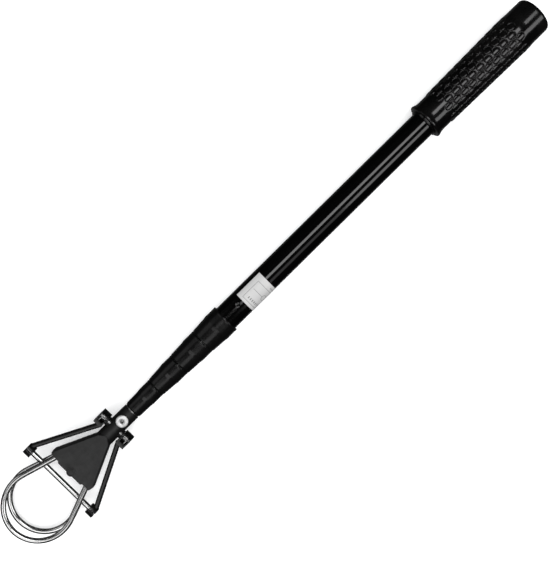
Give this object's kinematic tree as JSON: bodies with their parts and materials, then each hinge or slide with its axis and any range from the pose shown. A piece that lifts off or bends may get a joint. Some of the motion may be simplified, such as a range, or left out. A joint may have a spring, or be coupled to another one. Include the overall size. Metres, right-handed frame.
{
  "type": "golf ball retriever",
  "caption": "Telescopic pole with a dimpled rubber grip and a wire-loop head whose sprung gate bar traps a golf ball.",
  "frame": {"origin": "centre of the grip's flat butt face, on the pole's axis", "axes": "+X along the pole from the butt to the head, +Z out of the head's front face, +Y across the head along the gate bar"},
  "size_m": [0.5116, 0.0666, 0.029],
  "materials": {
    "grip": "glossy black moulded rubber",
    "pole_black": "gloss black",
    "pole_inner": "drawn, satin",
    "collar": "satin black",
    "head": "fine-grained black",
    "arm": "black",
    "wire": "polished stainless",
    "rivet": "bright",
    "spring": "bright",
    "screw": "blackened",
    "bush": "natural acetal",
    "plug": "black",
    "label": "gloss-coated white"
  },
  "bodies": {
    "handle": {"grip_sleeve": "grip", "end_plug": "plug", "main_tube": "pole_black", "label": "label", "collar_1": "collar"},
    "slider_2": {"bush_2": "bush"},
    "section_2": {"tube_2": "pole_inner", "collar_2": "collar"},
    "slider_3": {"bush_3": "bush"},
    "section_3": {"tube_3": "pole_inner", "collar_3": "collar"},
    "slider_4": {"bush_4": "bush"},
    "section_4": {"tube_4": "pole_inner", "collar_4": "collar"},
    "slider_5": {"bush_5": "bush"},
    "section_5": {"tube_5": "pole_inner", "head_shell_front": "head", "head_shell_back": "head", "head_rivet": "rivet", "shell_screw": "screw", "loop_front": "wire", "loop_back": "wire", "pivot_pin": "rivet"},
    "gate": {"arm_left": "arm", "arm_right": "arm", "gate_bar": "wire", "spring_left": "spring", "spring_right": "spring"}
  },
  "joints": [
    {"name": "slide_2", "type": "slide", "parent": "handle", "child": "slider_2", "axis": [1, 0, 0], "range_m": [0, 0.2755]},
    {"name": "swivel_2", "type": "hinge", "parent": "slider_2", "child": "section_2", "pos_m": [0.018, 0, 0], "axis": [1, 0, 0], "continuous": true},
    {"name": "slide_3", "type": "slide", "parent": "section_2", "child": "slider_3", "axis": [1, 0, 0], "range_m": [0, 0.2923]},
    {"name": "swivel_3", "type": "hinge", "parent": "slider_3", "child": "section_3", "pos_m": [0.024, 0, 0], "axis": [1, 0, 0], "continuous": true},
    {"name": "slide_4", "type": "slide", "parent": "section_3", "child": "slider_4", "axis": [1, 0, 0], "range_m": [0, 0.3092]},
    {"name": "swivel_4", "type": "hinge", "parent": "slider_4", "child": "section_4", "pos_m": [0.03, 0, 0], "axis": [1, 0, 0], "continuous": true},
    {"name": "slide_5", "type": "slide", "parent": "section_4", "child": "slider_5", "axis": [1, 0, 0], "range_m": [0, 0.326]},
    {"name": "swivel_5", "type": "hinge", "parent": "slider_5", "child": "section_5", "pos_m": [0.036, 0, 0], "axis": [1, 0, 0], "continuous": true},
    {"name": "gate_hinge", "type": "hinge", "parent": "section_5", "child": "gate", "pos_m": [0.4124, 0, 0], "axis": [0, -1, 0], "range_deg": [0, 5], "stiffness_Nm_per_rad": 0.05, "springref_deg": -34.38}
  ]
}
